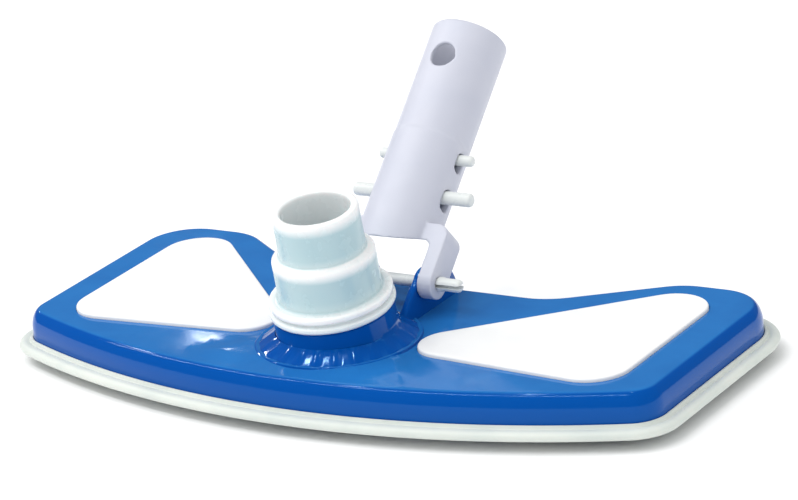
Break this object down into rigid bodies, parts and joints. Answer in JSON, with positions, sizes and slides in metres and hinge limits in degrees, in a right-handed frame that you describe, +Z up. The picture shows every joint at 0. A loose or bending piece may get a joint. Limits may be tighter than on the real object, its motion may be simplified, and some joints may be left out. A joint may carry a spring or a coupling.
{
  "type": "manual pool vacuum head",
  "caption": "Crescent-shaped weighted pool vacuum head with a soft bumper, brush strips, a swivelling stepped hose cuff and a pivoting pole handle with spring clip pins.",
  "frame": {"origin": "on the floor under the middle of the head's bounding box, bristle tips at z = 0", "axes": "+X to the head's right along its width, +Y to the rear where the handle leans, +Z up"},
  "size_m": [0.2816, 0.166, 0.1112],
  "materials": {
    "shell_plastic": "glossy moulded",
    "bumper_vinyl": "satin soft vinyl",
    "cover_plastic": "smooth",
    "weight_steel": "rolled plate",
    "cuff_plastic": "milky translucent",
    "washer_rubber": "matte",
    "handle_plastic": "satin moulded",
    "clip_plastic": "natural nylon",
    "strip_plastic": "satin moulded",
    "bristle_nylon": "nylon filament",
    "screw_steel": "plain stainless"
  },
  "bodies": {
    "head": {"body_shell": "shell_plastic", "shell_skirt": "shell_plastic", "shell_neck": "shell_plastic", "left_axle_ear": "shell_plastic", "right_axle_ear": "shell_plastic", "left_weight_tray": "shell_plastic", "right_weight_tray": "shell_plastic", "left_strip_rib": "shell_plastic", "right_strip_rib": "shell_plastic", "bumper": "bumper_vinyl", "left_weight_cover": "cover_plastic", "right_weight_cover": "cover_plastic", "left_weight": "weight_steel", "right_weight": "weight_steel", "left_front_brush_strip": "strip_plastic", "left_side_brush_strip": "strip_plastic", "left_rear_brush_strip": "strip_plastic", "right_front_brush_strip": "strip_plastic", "right_side_brush_strip": "strip_plastic", "right_rear_brush_strip": "strip_plastic", "left_front_bristles": "bristle_nylon", "left_side_bristles": "bristle_nylon", "left_rear_bristles": "bristle_nylon", "right_front_bristles": "bristle_nylon", "right_side_bristles": "bristle_nylon", "right_rear_bristles": "bristle_nylon", "left_brush_screws": "screw_steel", "right_brush_screws": "screw_steel", "axle_pin": "clip_plastic"},
    "swivel": {"swivel_cuff": "cuff_plastic", "swivel_retaining_ring": "cuff_plastic", "swivel_washer": "washer_rubber"},
    "handle": {"handle": "handle_plastic", "handle_yoke": "handle_plastic", "clip_bend": "clip_plastic"},
    "left_clip": {"left_clip_leg": "clip_plastic"},
    "right_clip": {"right_clip_leg": "clip_plastic"}
  },
  "joints": [
    {"name": "handle_pivot", "type": "hinge", "parent": "head", "child": "handle", "pos_m": [0, -0.00287, 0.0319], "axis": [1, 0, 0], "range_deg": [-26, 36]},
    {"name": "cuff_swivel", "type": "hinge", "parent": "head", "child": "swivel", "pos_m": [0, -0.03793, 0.03617], "axis": [0, -0.1288, 0.9917], "continuous": true},
    {"name": "left_clip_press", "type": "hinge", "parent": "handle", "child": "left_clip", "pos_m": [-0.0032, 0.05361, 0.08275], "axis": [0, -0.6691, 0.7431], "range_deg": [0, 10], "stiffness_Nm_per_rad": 4},
    {"name": "right_clip_press", "type": "hinge", "parent": "handle", "child": "right_clip", "pos_m": [0.0032, 0.05361, 0.08275], "axis": [0, 0.6691, -0.7431], "range_deg": [0, 10], "stiffness_Nm_per_rad": 4}
  ]
}
